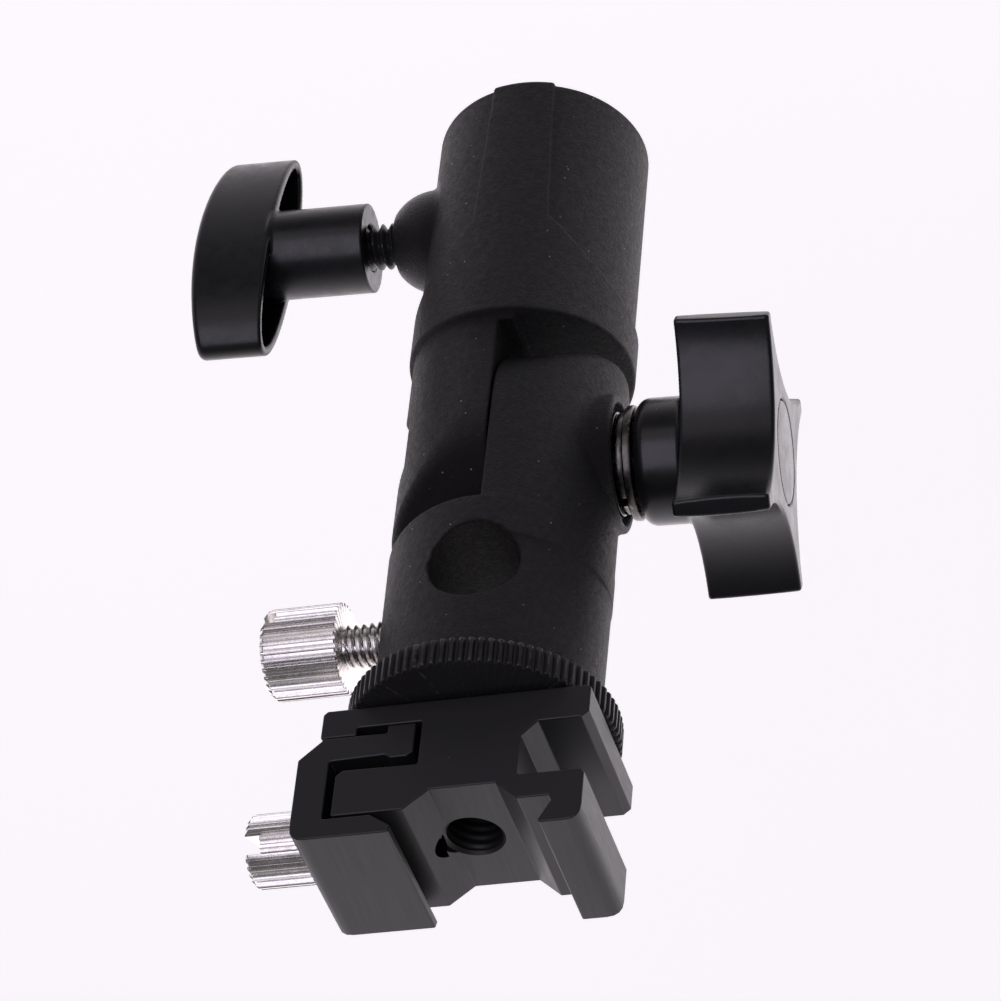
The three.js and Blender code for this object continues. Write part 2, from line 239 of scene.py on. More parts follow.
# ------------------------------------------------------------------ turned and extruded meshes
def rounded(points, radius, steps=4, closed=True):
    """The outline with each corner rounded by a short curve. radius is one number or one per corner."""
    points = [Vector(p).to_2d() for p in points]
    radii = [radius] * len(points) if np.isscalar(radius) else radius
    out = []
    for i, corner in enumerate(points):
        if not closed and i in (0, len(points) - 1):
            out.append(corner)
            continue
        before = points[i - 1] - corner
        after = points[(i + 1) % len(points)] - corner
        half = before.angle(after) / 2
        reach = min(radii[i] / math.tan(half), 0.49 * before.length, 0.49 * after.length)
        start, end = corner + before.normalized() * reach, corner + after.normalized() * reach
        for k in range(steps + 1):
            t = k / steps
            out.append((1 - t) ** 2 * start + 2 * t * (1 - t) * corner + t * t * end)
    return [(p.x, p.y) for p in out]


def lathe(name, profile, segments=96, ripple=None, closed=False):
    """A solid turned about Z from (radius, height) points. ripple changes the radii round the axis."""
    angle = np.arange(segments) * 2 * math.pi / segments
    points = []
    rings = []
    for radius, height in profile:
        if radius < 1e-6:
            rings.append([len(points)] * segments)
            points.append((0, 0, height))
            continue
        r = np.full(segments, float(radius)) if ripple is None else ripple(radius, height, angle)
        rings.append(list(range(len(points), len(points) + segments)))
        points.extend(zip(r * np.cos(angle), r * np.sin(angle), np.full(segments, height)))
    faces = []
    pairs = list(zip(rings, rings[1:])) + ([(rings[-1], rings[0])] if closed else [])
    for lower, upper in pairs:
        for i in range(segments):
            j = (i + 1) % segments
            face = [lower[i], lower[j], upper[j], upper[i]]
            faces.append([v for n, v in enumerate(face) if v not in face[:n]])
    return mesh_of(name, points, faces)


def prism_along_y(name, outline, half_length):
    """An extrusion along Y of an outline in (x, z)."""
    n = len(outline)
    points = [(x, y, z) for y in (-half_length, half_length) for x, z in outline]
    sides = [[n + i, n + (i + 1) % n, (i + 1) % n, i] for i in range(n)]
    return mesh_of(name, points, sides + [list(range(n)), list(range(n, 2 * n))[::-1]])


def thread(pitch, depth, low, high, lead):
    """A right-hand V thread that fades out over lead at both ends."""

    def ripple(radius, height, angle):
        phase = (height / pitch - angle / (2 * math.pi)) % 1
        flank = np.clip((np.abs(phase - 0.5) * 2 - 0.1) / 0.8, 0, 1)
        fade = np.clip(min(height - low, high - height) / lead, 0, 1)
        return radius - depth * fade * flank

    return ripple


def threaded_bar(name, radius, pitch, low, high, depth=None, segments=56, chamfer=0.5):
    """A threaded rod from low to high with chamfered ends."""
    depth = depth or 0.6 * pitch
    rings_per_turn = 10
    count = int((high - low - 2 * chamfer) / pitch * rings_per_turn)
    heights = np.linspace(low + chamfer, high - chamfer, count)
    profile = [(0, low), (radius - chamfer, low)]
    profile += [(radius, h) for h in heights]
    profile += [(radius - chamfer, high), (0, high)]
    cut_thread = thread(pitch, depth, low - 1, high + 1, lead=0.5)

    def ripple(r, height, angle):
        return cut_thread(r, height, angle) if r > radius - 0.01 else np.full(len(angle), r)

    return lathe(name, profile, segments, ripple)


def knurl(radius, teeth):
    """Straight ridges on whatever stands near the given radius."""

    def ripple(r, height, angle):
        phase = (angle * teeth / (2 * math.pi)) % 1
        groove = np.clip((np.abs(phase - 0.5) * 2 - 0.25) / 0.6, 0, 1)
        groove = groove * groove * (3 - 2 * groove)
        return np.minimum(r, radius - KNURL_DEPTH * groove)

    return ripple


# ------------------------------------------------------------------ placing pieces
def facing(x, y, z, axis):
    """A frame whose +Z lies along axis, with its origin at (x, y, z) in mm."""
    turn = Vector((0, 0, 1)).rotation_difference(Vector(axis)).to_matrix().to_4x4()
    return Matrix.Translation(Vector((x, y, z)) * MM) @ turn


TILT_FRAME = facing(0, 0, PIVOT_Z, (-1, 0, 0))
LOCK_FRAME = facing(0, 0, LOCK_Z, (1, 0, 0))
UMBRELLA_FRAME = Matrix.Rotation(THUMB_TURN, 4, "Z") @ facing(0, 0, THUMB_Z, (1, 0, 0))
SHOE_FRAME = Matrix.Translation((0, 0, SHOE_Z * MM)) @ Matrix.Rotation(SHOE_TURN, 4, "Z")


def piece(mesh, body, material, nodes, place=None):
    """Links a mesh as a piece of the object that stands for the given CAD nodes."""
    if place is not None:
        mesh.transform(place)
    made = bpy.data.objects.new(mesh.name, mesh)
    bpy.context.scene.collection.objects.link(made)
    mesh.materials.clear()
    mesh.materials.append(material)
    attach(made, body)
    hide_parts(*nodes)
    return made


def apply_modifiers(thing):
    bpy.context.view_layer.update()
    graph = bpy.context.evaluated_depsgraph_get()
    mesh = bpy.data.meshes.new_from_object(thing.evaluated_get(graph))
    thing.modifiers.clear()
    thing.data = mesh
    return mesh


def carve(mesh, *cutters):
    """The mesh with every cutter taken out of it."""
    solid = bpy.data.objects.new("carved", mesh)
    bpy.context.scene.collection.objects.link(solid)
    for cutter in cutters:
        tool = bpy.data.objects.new("cutter", cutter)
        bpy.context.scene.collection.objects.link(tool)
        modifier = solid.modifiers.new("cut", "BOOLEAN")
        modifier.operation = "DIFFERENCE"
        modifier.solver = "EXACT"
        modifier.object = tool
        apply_modifiers(solid)
        bpy.data.objects.remove(tool)
    result = solid.data
    bpy.data.objects.remove(solid)
    result.name = mesh.name
    return result


def modified(mesh, kind, **settings):
    """The mesh as one modifier of the given kind leaves it."""
    solid = bpy.data.objects.new("modified", mesh)
    bpy.context.scene.collection.objects.link(solid)
    modifier = solid.modifiers.new(kind.lower(), kind)
    for name, value in settings.items():
        setattr(modifier, name, value)
    result = apply_modifiers(solid)
    bpy.data.objects.remove(solid)
    return result


def bevelled(mesh, width, angle):
    """The mesh with every edge sharper than angle rounded."""
    return modified(
        mesh,
        "BEVEL",
        width=width * MM,
        segments=3,
        limit_method="ANGLE",
        angle_limit=math.radians(angle),
        use_clamp_overlap=False,
    )


def sharpen(mesh, angle):
    """Flat-looking faces with smooth rounds: marks the mesh's sharp edges by angle."""
    mesh.polygons.foreach_set("use_smooth", [True] * len(mesh.polygons))
    mesh.set_sharp_from_angle(angle=math.radians(angle))
    return mesh


def even_faces(mesh, angle):
    """The same, with normals that follow the large faces, so that they shade flat."""
    result = modified(sharpen(mesh, angle), "WEIGHTED_NORMAL", keep_sharp=True)
    result.name = mesh.name
    return result


# ------------------------------------------------------------------ materials
def set_range(node, low, high, to_low, to_high):
    """Fills in the four limits of a Map Range node."""
    limits = {"From Min": low, "From Max": high, "To Min": to_low, "To Max": to_high}
    for name, number in limits.items():
        node.inputs[name].default_value = number


class Recipe:
    """A Principled material whose nodes are added in short calls. Coordinates are in mm."""

    def __init__(self, name, color, metallic=0.0, roughness=0.5, specular=0.5):
        self.material = bpy.data.materials.new(name)
        self.material.use_nodes = True
        self.nodes = self.material.node_tree.nodes
        self.links = self.material.node_tree.links
        self.shader = self.nodes["Principled BSDF"]
        self.shader.inputs["Base Color"].default_value = (*color, 1)
        self.shader.inputs["Metallic"].default_value = metallic
        self.shader.inputs["Roughness"].default_value = roughness
        self.shader.inputs["Specular IOR Level"].default_value = specular
        self.color = color
        place = self.nodes.new("ShaderNodeTexCoord")
        scale = self.nodes.new("ShaderNodeVectorMath")
        scale.operation = "SCALE"
        scale.inputs["Scale"].default_value = 1 / MM
        self.links.new(place.outputs["Object"], scale.inputs[0])
        self.mm = scale.outputs["Vector"]
        self.normal = None

    def stretched(self, x, y, z):
        node = self.nodes.new("ShaderNodeMapping")
        node.inputs["Scale"].default_value = (x, y, z)
        self.links.new(self.mm, node.inputs["Vector"])
        return node.outputs["Vector"]

    def noise(self, per_mm, detail=3.0, rough=0.5, where=None):
        node = self.nodes.new("ShaderNodeTexNoise")
        node.inputs["Scale"].default_value = per_mm
        node.inputs["Detail"].default_value = detail
        node.inputs["Roughness"].default_value = rough
        self.links.new(where or self.mm, node.inputs["Vector"])
        return node.outputs["Fac"]

    def cells(self, per_mm):
        node = self.nodes.new("ShaderNodeTexVoronoi")
        node.inputs["Scale"].default_value = per_mm
        self.links.new(self.mm, node.inputs["Vector"])
        return node.outputs["Distance"], node.outputs["Color"]

    def ranged(self, value, low, high, to_low, to_high):
        node = self.nodes.new("ShaderNodeMapRange")
        set_range(node, low, high, to_low, to_high)
        self.links.new(value, node.inputs["Value"])
        return node.outputs["Result"]

    def distance(self, point, where):
        node = self.nodes.new("ShaderNodeVectorMath")
        node.operation = "DISTANCE"
        node.inputs[1].default_value = point
        self.links.new(where, node.inputs[0])
        return node.outputs["Value"]

    def times(self, a, b):
        node = self.nodes.new("ShaderNodeMath")
        node.operation = "MULTIPLY"
        self.links.new(a, node.inputs[0])
        self.links.new(b, node.inputs[1])
        return node.outputs["Value"]

    def rough(self, value, low, high, at_low=0.3, at_high=0.7):
        self.links.new(self.ranged(value, at_low, at_high, low, high), self.shader.inputs["Roughness"])

    def inside_bore(self, height, radius):
        """One inside a bore along Y at the given height, and zero outside it."""
        away = self.distance((0, 0, height), self.stretched(1, 0, 1))
        return self.ranged(away, radius + 0.1, radius, 0, 1)

    def smoother_near(self, point, reach, roughness):
        """The given roughness inside a ball round the point, fading out within 1 mm of it."""
        near = self.ranged(self.distance(point, self.mm), reach + 1, reach, 0, 1)
        mix = self.nodes.new("ShaderNodeMix")
        socket = self.shader.inputs["Roughness"]
        self.links.new(socket.links[0].from_socket, mix.inputs["A"])
        mix.inputs["B"].default_value = roughness
        self.links.new(near, mix.inputs["Factor"])
        self.links.new(mix.outputs["Result"], socket)

    def bump(self, height, depth_mm, strength=1.0):
        node = self.nodes.new("ShaderNodeBump")
        node.inputs["Distance"].default_value = depth_mm * MM
        node.inputs["Strength"].default_value = strength
        self.links.new(height, node.inputs["Height"])
        if self.normal is not None:
            self.links.new(self.normal, node.inputs["Normal"])
        self.normal = node.outputs["Normal"]
        self.links.new(self.normal, self.shader.inputs["Normal"])

    def tint(self, mask, color):
        node = self.nodes.new("ShaderNodeMix")
        node.data_type = "RGBA"
        socket = self.shader.inputs["Base Color"]
        if socket.is_linked:
            self.links.new(socket.links[0].from_socket, node.inputs["A"])
        else:
            node.inputs["A"].default_value = (*self.color, 1)
        node.inputs["B"].default_value = (*color, 1)
        self.links.new(mask, node.inputs["Factor"])
        self.links.new(node.outputs["Result"], socket)

    def worn_edges(self, color, amount=0.5, reach=0.6):
        """Lighter paint along raised edges, broken up by noise."""
        geometry = self.nodes.new("ShaderNodeNewGeometry")
        edge = self.ranged(geometry.outputs["Pointiness"], reach, reach + 0.06, 0, amount)
        patchy = self.ranged(self.noise(0.9, 4), 0.45, 0.6, 0, 1)
        self.tint(self.times(edge, patchy), color)

    def painted_groove_shade(self, color, amount=0.8, reach=0.48):
        """Painted shade: darker in the hollows."""
        geometry = self.nodes.new("ShaderNodeNewGeometry")
        self.tint(self.ranged(geometry.outputs["Pointiness"], reach, reach - 0.05, 0, amount), color)

    def dust(self, per_mm=0.55, size=0.05, share=0.12, color=(0.5, 0.48, 0.46)):
        """Small pale specks: a few of the cells hold one."""
        distance, chance = self.cells(per_mm)
        speck = self.ranged(distance, size, size * 0.6, 0, 1)
        chosen = self.ranged(chance, share, share - 0.02, 0, 1)
        self.tint(self.times(speck, chosen), color)


def powder_coat():
    m = Recipe("powder_coat", (0.0085, 0.007, 0.0088), roughness=0.55, specular=0.36)
    m.rough(m.noise(1.3, 5, 0.65), 0.4, 0.6)
    m.smoother_near((DOME_X, 0, LOCK_Z), DOME_R + 0.5, 0.3)
    m.tint(m.ranged(m.noise(0.25, 3), 0.4, 0.65, 0, 0.5), (0.0115, 0.0098, 0.0118))
    m.dust(per_mm=0.8, size=0.09, share=0.3)
    m.dust(per_mm=1.2, size=0.08, share=0.25, color=(0.16, 0.15, 0.15))
    # Painted shade: the inside of the umbrella bore is tinted near black, with brownish patches mixed in.
    bore = m.inside_bore(UMBRELLA_Z, UMBRELLA_R + 0.1)
    m.tint(bore, (0.004, 0.0036, 0.003))
    m.tint(m.times(bore, m.ranged(m.noise(2.5, 3, 0.7), 0.5, 0.68, 0, 1)), (0.04, 0.028, 0.016))
    m.bump(m.noise(2.6, 4, 0.75), 0.42, 1.0)
    m.bump(m.noise(0.7, 2), 0.12, 0.25)
    return m.material


def glossy_knob():
    m = Recipe("glossy_knob", (0.008, 0.0075, 0.009), roughness=0.26, specular=0.5)
    m.rough(m.noise(0.35, 5, 0.6), 0.22, 0.32)
    m.dust(per_mm=0.5, size=0.03, share=0.1, color=(0.35, 0.35, 0.36))
    m.bump(m.noise(0.5, 2), 0.03, 0.15)
    return m.material


def wing_knob_plastic():
    m = Recipe("wing_knob_plastic", (0.009, 0.009, 0.0105), roughness=0.3, specular=0.5)
    m.rough(m.noise(0.6, 5, 0.6), 0.24, 0.38)
    m.dust(per_mm=0.5, size=0.035, share=0.1, color=(0.35, 0.35, 0.36))
    m.bump(m.noise(2.2, 3), 0.02, 0.3)
    return m.material


def nickel():
    m = Recipe("nickel", (0.92, 0.89, 0.87), metallic=1.0, roughness=0.3)
    m.rough(m.noise(1.8, 5, 0.7), 0.16, 0.32)
    m.tint(m.ranged(m.noise(0.8, 4), 0.5, 0.75, 0, 0.5), (0.6, 0.57, 0.54))
    # Painted shade in the knurl grooves and thread roots.
    m.painted_groove_shade((0.06, 0.055, 0.05))
    m.bump(m.noise(4.0, 3), 0.02, 0.4)
    return m.material


def anodised():
    m = Recipe("anodised", (0.0125, 0.0115, 0.0128), roughness=0.42, specular=0.6)
    drawn = m.noise(5.0, 3, 0.5, m.stretched(1, 0.02, 1))
    m.rough(drawn, 0.38, 0.48)
    m.bump(drawn, 0.004, 0.5)
    m.bump(m.noise(9.0, 2), 0.004, 0.6)
    m.dust(per_mm=0.9, size=0.06, share=0.14, color=(0.4, 0.39, 0.38))
    return m.material


def black_steel():
    m = Recipe("black_steel", (0.035, 0.033, 0.036), metallic=0.5, roughness=0.35)
    m.rough(m.noise(1.5, 4), 0.28, 0.45)
    m.worn_edges((0.2, 0.2, 0.2), 0.5, 0.54)
    m.bump(m.noise(5.0, 3), 0.02, 0.3)
    return m.material


def dark_steel():
    m = Recipe("dark_steel", (0.1, 0.095, 0.09), metallic=1.0, roughness=0.25)
    m.rough(m.noise(1.5, 5), 0.18, 0.34)
    m.worn_edges((0.5, 0.48, 0.45), 0.6, 0.53)
    m.bump(m.noise(4.0, 3), 0.02, 0.4)
    return m.material


def plain_steel():
    m = Recipe("plain_steel", (0.4, 0.4, 0.41), metallic=1.0, roughness=0.3)
    m.rough(m.noise(1.5, 5), 0.22, 0.42)
    m.bump(m.noise(4.0, 3), 0.02, 0.4)
    return m.material


def brass():
    m = Recipe("brass", (0.6, 0.42, 0.17), metallic=1.0, roughness=0.3)
    m.rough(m.noise(1.5, 5), 0.22, 0.42)
    m.tint(m.ranged(m.noise(0.9, 4), 0.45, 0.7, 0, 0.5), (0.35, 0.22, 0.09))
    m.bump(m.noise(4.0, 3), 0.02, 0.3)
    return m.material


def fibre():
    m = Recipe("fibre", (0.045, 0.036, 0.028), roughness=0.9)
    m.tint(m.ranged(m.noise(6.0, 4), 0.4, 0.6, 0, 0.6), (0.09, 0.075, 0.06))
    m.rough(m.noise(2.0, 4), 0.8, 0.95)
    m.bump(m.noise(5.0, 4), 0.05, 0.6)
    return m.material


def nylon():
    m = Recipe("nylon", (0.72, 0.69, 0.62), roughness=0.45)
    m.shader.inputs["Subsurface Weight"].default_value = 0.15
    m.rough(m.noise(1.5, 4), 0.38, 0.55)
    m.bump(m.noise(3.0, 3), 0.02, 0.3)
    return m.material


POWDER_COAT = powder_coat()
GLOSSY_KNOB = glossy_knob()
WING_PLASTIC = wing_knob_plastic()
NICKEL = nickel()
ANODISED = anodised()
BLACK_STEEL = black_steel()
DARK_STEEL = dark_steel()
PLAIN_STEEL = plain_steel()
BRASS = brass()
FIBRE = fibre()
NYLON = nylon()

# ------------------------------------------------------------------ castings
BOLT_HEAD = 13.6
POCKET_X = 6.8
DISC_R = 9.5
DISC_HALF = 1.3
BOSS_R = 8.8
BOSS_RECESS_R = 7.7
BOSS_RECESS_X = 13.2
STEP_WIDTH = 1.9
STEP_HEIGHT = 1.1
PANEL_Z = (0, 24.2, 29.8, 34, 45)
PANEL_HALF = (4.1, 5.0, 10.3, 15.6, 15.6)
SOCKET_LUG_LOW_Z = 35.0
HOLDER_LUG_HIGH_Z = 77.0
BOSS_START_X = 5.0
BORE_PAST_MIDDLE = 1.0
STUD_BORE_DEPTH = 7.0


def lug_field(x, y, z, up):
    """A lug beside the middle plane, round about the tilt axis at its end."""
    radial = np.hypot(x, y) - BODY_R
    beyond = (z - PIVOT_Z) * up > 0
    end = np.where(beyond, np.hypot(y, z - PIVOT_Z), np.abs(y)) - LUG_END_R
    face = LUG_FACE_X - x * up
    return meet(meet(radial, end, 1.0), face, 0.35)


def socket_body(x, y, z):
    radial = np.hypot(x, y)
    half = np.interp(z, PANEL_Z, PANEL_HALF)
    lean = np.hypot(1, np.gradient(PANEL_HALF, PANEL_Z)[1])
    panel = meet(radial - COLLAR_R, (np.abs(x) - half) / lean, 0.2)
    column = join(radial - BODY_R, panel, 0.1)
    shoulder = SHOULDER_R - np.hypot(y, z - SOCKET_SHOULDER_Z - SHOULDER_R)
    base = meet(meet(column, shoulder, 0.5), -z, 0.6)
    ledge = meet(meet(radial - BODY_R, shoulder - STEP_HEIGHT, 0.2), slab(x, -STEP_WIDTH, 2), 0.12)
    lug = meet(lug_field(x, y, z, 1), SOCKET_LUG_LOW_Z - z)
    body = join(base, join(lug, ledge, 0.15), 0.2)
    ball = np.sqrt((x - DOME_X) ** 2 + y**2 + (z - LOCK_Z) ** 2) - DOME_R
    dome = meet(ball, x - DOME_FACE_X, 0.5)
    body = join(body, meet(dome, DOME_START_X - x), 0.5)
    body = cut(body, meet(radial - SPIGOT_R, z - SPIGOT_DEPTH), 0.4)
    body = cut(body, (radial - SPIGOT_R - SPIGOT_CHAMFER + z) * math.sqrt(0.5), 0.2)
    body = cut(body, meet(np.hypot(y, z - LOCK_Z) - LOCK_BORE_R, -x), 0.3)
    across = np.hypot(y, z - PIVOT_Z)
    body = cut(body, meet(across - TILT_BORE_R, -x - BORE_PAST_MIDDLE), 0.3)
    body = cut(body, meet(hexagon(z - PIVOT_Z, y, BOLT_HEAD), POCKET_X - x), 0.4)
    return cut(body, meet(across - DISC_R, np.abs(x) - DISC_HALF), 0.3)


def upper_body(x, y, z):
    radial = np.hypot(x, y)
    radius = np.interp(z, (HOLDER_SHOULDER_Z, HOLDER_TOP_Z), (BODY_R, HOLDER_TOP_R))
    shoulder = SHOULDER_R - np.hypot(y, z - HOLDER_SHOULDER_Z + SHOULDER_R)
    base = meet(meet(radial - radius, shoulder, 0.5), z - HOLDER_TOP_Z, 0.7)
    lug = meet(lug_field(x, y, z, -1), z - HOLDER_LUG_HIGH_Z)
    body = join(base, lug, 0.3)
    across = np.hypot(y, z - PIVOT_Z)
    boss = round_bar(across, BOSS_R, -x, BOSS_START_X, BOSS_X, 0.5)
    body = join(body, boss, 0.6)
    body = cut(body, meet(across - BOSS_RECESS_R, x + BOSS_RECESS_X), 0.15)
    body = cut(body, meet(across - TILT_BORE_R, x - BORE_PAST_MIDDLE), 0.3)
    body = cut(body, meet(across - DISC_R, np.abs(x) - DISC_HALF), 0.3)
    body = cut(body, np.hypot(x, z - UMBRELLA_Z) - UMBRELLA_R, 0.2)
    aside = y * math.cos(THUMB_TURN) - x * math.sin(THUMB_TURN)
    body = cut(body, meet(np.hypot(aside, z - THUMB_Z) - THUMB_BORE_R, -x), 0.3)
    return cut(body, meet(radial - STUD_BORE_R, HOLDER_TOP_Z - STUD_BORE_DEPTH - z), 0.3)


CASTING_STEP = 0.27
SOCKET_LOW = (-COLLAR_R, -COLLAR_R, 0)
SOCKET_HIGH = (DOME_FACE_X, COLLAR_R, PIVOT_Z + LUG_END_R)
UPPER_LOW = (-14.4, -BODY_R, PIVOT_Z - LUG_END_R)
UPPER_HIGH = (BODY_R, BODY_R, HOLDER_TOP_Z)
socket_mesh = field_mesh("socket_casting", socket_body, SOCKET_LOW, SOCKET_HIGH, CASTING_STEP)
piece(socket_mesh, "socket", POWDER_COAT, ["socket_body"])
upper_mesh = field_mesh("upper_casting", upper_body, UPPER_LOW, UPPER_HIGH, CASTING_STEP)
piece(upper_mesh, "upper", POWDER_COAT, ["upper_body"])

# ------------------------------------------------------------------ tilt clamp, about the axis to -X
HUB_R = 8.05
STAR_START = 23.0
STAR_TIP_R = 18.6
STAR_SCOOP_R = 17.8
STAR_SCOOP_AT = 26.9
STAR_CROWN = 0.007
STAR_DRAFT = 0.03
STAR_PHASE = math.radians(15)
INSERT_R = 5.5
INSERT_END = 27.3
BOLT_HOLE_END = 32.2
CAP_R = 6.55
CAP_GAP = 0.15
CAP_POCKET = 1.4
SPRING_R = 6.4
SPRING_MIDDLE = 14.72
SPRING_RISE = 0.12
SPRING_HALF_T = 0.49
SPRING_HALF_GAP = 0.12


def star_knob(x, y, z):
    """Local z runs outwards along the tilt axis."""
    across = np.hypot(x, y)
    star = across - STAR_TIP_R + STAR_DRAFT * (z - STAR_START)
    crown = STAR_CROWN * (z - (STAR_START + STAR_END) / 2) ** 2
    for quarter in range(4):
        turn = STAR_PHASE + quarter * math.pi / 2
        scoop = np.hypot(x - STAR_SCOOP_AT * math.cos(turn), y - STAR_SCOOP_AT * math.sin(turn))
        star = cut(star, scoop - STAR_SCOOP_R - crown, 0.3)
    star = meet(star, slab(z, STAR_START, STAR_END), 0.35)
    hub = round_bar(across, HUB_R, z, HUB_START, STAR_END - 3, 1.8)
    knob = join(star, hub, 0.8)
    knob = cut(knob, meet(across - INSERT_R, z - INSERT_END), 0.3)
    knob = cut(knob, meet(across - TILT_BORE_R, z - BOLT_HOLE_END))
    return cut(knob, meet(across - CAP_R - CAP_GAP, STAR_END - CAP_POCKET - z), 0.2)


def spring_washer():
    """A split washer with a nearly square section, its ends sprung slightly apart."""
    middle_r = (SPRING_R + TILT_BORE_R) / 2
    half_w = (SPRING_R - TILT_BORE_R) / 2
    half_t = SPRING_HALF_T
    steps = 90
    section = rounded([(-half_w, -half_t), (half_w, -half_t), (half_w, half_t), (-half_w, half_t)], 0.15, 2)
    points, faces = [], []
    for i in range(steps + 1):
        share = i / steps
        angle = SPRING_HALF_GAP + share * (2 * math.pi - 2 * SPRING_HALF_GAP)
        rise = SPRING_MIDDLE + (share - 0.5) * SPRING_RISE
        for across, up in section:
            r = middle_r + across
            points.append((r * math.cos(angle), r * math.sin(angle), rise + up))
    n = len(section)
    for i in range(steps):
        for k in range(n):
            a, b = i * n + k, i * n + (k + 1) % n
            faces.append([b, a, a + n, b + n])
    faces.append(list(range(n)))
    faces.append(list(range(steps * n, steps * n + n))[::-1])
    return sharpen(mesh_of("spring_washer", points, faces), 35)


def washer(name, node, outer, edge):
    """A plain washer with the tilt bolt's bore, between the ends of its CAD node."""
    inner = TILT_BORE_R
    low, high = span_to_left(node)
    profile = rounded([(inner, low), (outer, low), (outer, high), (inner, high)], edge, 3)
    return sharpen(lathe(name, profile, 96, closed=True), 30)


KNOB_STEP = 0.26
star_low = (-STAR_TIP_R, -STAR_TIP_R, HUB_START)
star_high = (STAR_TIP_R, STAR_TIP_R, STAR_END)
star_mesh = field_mesh("star_knob", star_knob, star_low, star_high, KNOB_STEP)
piece(star_mesh, "star_knob", GLOSSY_KNOB, ["tilt_knob"], TILT_FRAME)
cap_profile = [
    (0, CAP_START), (CAP_R - 0.2, CAP_START), (CAP_R, CAP_START + 0.2),
    (CAP_R, STAR_END - 0.2), (CAP_R - 0.2, STAR_END), (0, STAR_END + 0.05),
]
cap_mesh = sharpen(lathe("star_knob_cap", rounded(cap_profile, 0.2, 3, closed=False), 96), 30)
piece(cap_mesh, "star_knob", GLOSSY_KNOB, ["tilt_knob_cap"], TILT_FRAME)
inner_washer_mesh = washer("inner_washer", "tilt_inner_washer", outer=6.6, edge=0.15)
piece(inner_washer_mesh, "upper", DARK_STEEL, ["tilt_inner_washer"], TILT_FRAME)
spring_mesh = spring_washer()
piece(spring_mesh, "upper", DARK_STEEL, ["tilt_spring_washer"], TILT_FRAME)
flat_washer_mesh = washer("flat_washer", "tilt_flat_washer", outer=7.3, edge=0.4)
piece(flat_washer_mesh, "tilt_washer", DARK_STEEL, ["tilt_flat_washer"], TILT_FRAME)

# ------------------------------------------------------------------ stand lock, about the axis to +X
WING_A = 18.85
WING_B = 5.9
WING_WALL = 1.45
WING_RIM = 35.1
WING_SAG = 1.65
WING_TURN = math.radians(5.3)
WING_HOLLOW = 6.8
WING_HUB_R = 6.0
WING_BORE_R = 3.2
LOCK_SCREW_END = 27.0


def oval(long, short, a, b):
    scaled = np.hypot(long / a, short / b)
    slope = np.maximum(np.hypot(long / a**2, short / b**2), 1e-6)
    return (scaled - 1) * np.maximum(scaled, 0.3) / slope


def wing_knob(x, y, z):
    """Local z runs outwards, and the head's long axis lies near local x."""
    long = x * math.cos(WING_TURN) + y * math.sin(WING_TURN)
    short = y * math.cos(WING_TURN) - x * math.sin(WING_TURN)
    crown = z - WING_CROWN + WING_SAG * (long / WING_A) ** 2
    head = meet(meet(oval(long, short, WING_A, WING_B), crown, 0.9), WING_RIM - z, 0.35)
    inside = oval(long, short, WING_A - WING_WALL, WING_B - WING_WALL)
    head = cut(head, meet(inside, z - WING_RIM - WING_HOLLOW, 1.2), 0.35)
    across = np.hypot(x, y)
    outer_hub = round_bar(across, WING_HUB_R, z, WING_HUB_START, WING_RIM + 0.4, 0.15)
    inner_hub = round_bar(across, WING_HUB_R, z, WING_RIM, WING_CROWN - 2.5, 0.15)
    hub = join(outer_hub, meet(inner_hub, np.abs(short) - WING_B + 0.8))
    knob = join(head, hub, 0.5)
    return cut(knob, meet(across - WING_BORE_R, z - LOCK_SCREW_END), 0.15)


WING_REACH = 8
wing_low = (-WING_A, -WING_REACH, WING_HUB_START)
wing_high = (WING_A, WING_REACH, WING_CROWN)
wing_mesh = field_mesh("wing_knob", wing_knob, wing_low, wing_high, KNOB_STEP)
piece(wing_mesh, "lock_knob", WING_PLASTIC, ["stand_lock_knob"], LOCK_FRAME)
lock_mesh = threaded_bar("lock_screw", QUARTER_INCH_R, QUARTER_INCH_PITCH, LOCK_SCREW_START, LOCK_SCREW_END)
piece(sharpen(lock_mesh, 50), "lock_knob", BLACK_STEEL, ["stand_lock_screw"], LOCK_FRAME)


# ------------------------------------------------------------------ knurled thumb screws
def knurled_head(name, radius, teeth, low, high, edge, slot_width, slot_depth, slot_turn):
    """A straight-knurled head, square at its inner end, with a slot across its outer face."""
    outline = [(0, low), (radius - 0.1, low), (radius, low + 0.1)]
    outline += [(radius, high - edge), (radius - edge, high), (0, high)]
    radii = [0, 0.05, 0.05, 0.3, 0.3, 0]
    profile = rounded(outline, radii, 3, closed=False)
    segments_per_tooth = 14
    head = lathe(name, profile, teeth * segments_per_tooth, knurl(radius, teeth))
    left, right, floor_z = -slot_width / 2, slot_width / 2, high - slot_depth
    corners = [(left, floor_z), (right, floor_z), (right, high + 1), (left, high + 1)]
    slot = prism_along_y("slot", corners, radius + 1)
    slot.transform(Matrix.Rotation(slot_turn, 4, "Z"))
    return sharpen(carve(head, slot), 35)


def joined(name, *meshes):
    """Several closed meshes in one."""
    points, faces = [], []
    for mesh in meshes:
        start = len(points)
        points.extend(tuple(v.co / MM) for v in mesh.vertices)
        faces.extend([start + i for i in p.vertices] for p in mesh.polygons)
    return mesh_of(name, points, faces)


umbrella_head = knurled_head(
    "head", radius=5.75, teeth=32, low=18.9, high=28.7, edge=0.6,
    slot_width=1.6, slot_depth=1.8, slot_turn=0.35,
)
umbrella_shank = threaded_bar("shank", radius=2.95, pitch=1.0, low=8.6, high=19.2)
umbrella_mesh = sharpen(joined("umbrella_thumb_screw", umbrella_head, umbrella_shank), 38)
piece(umbrella_mesh, "umbrella_thumb_screw", NICKEL, ["umbrella_screw"], UMBRELLA_FRAME)

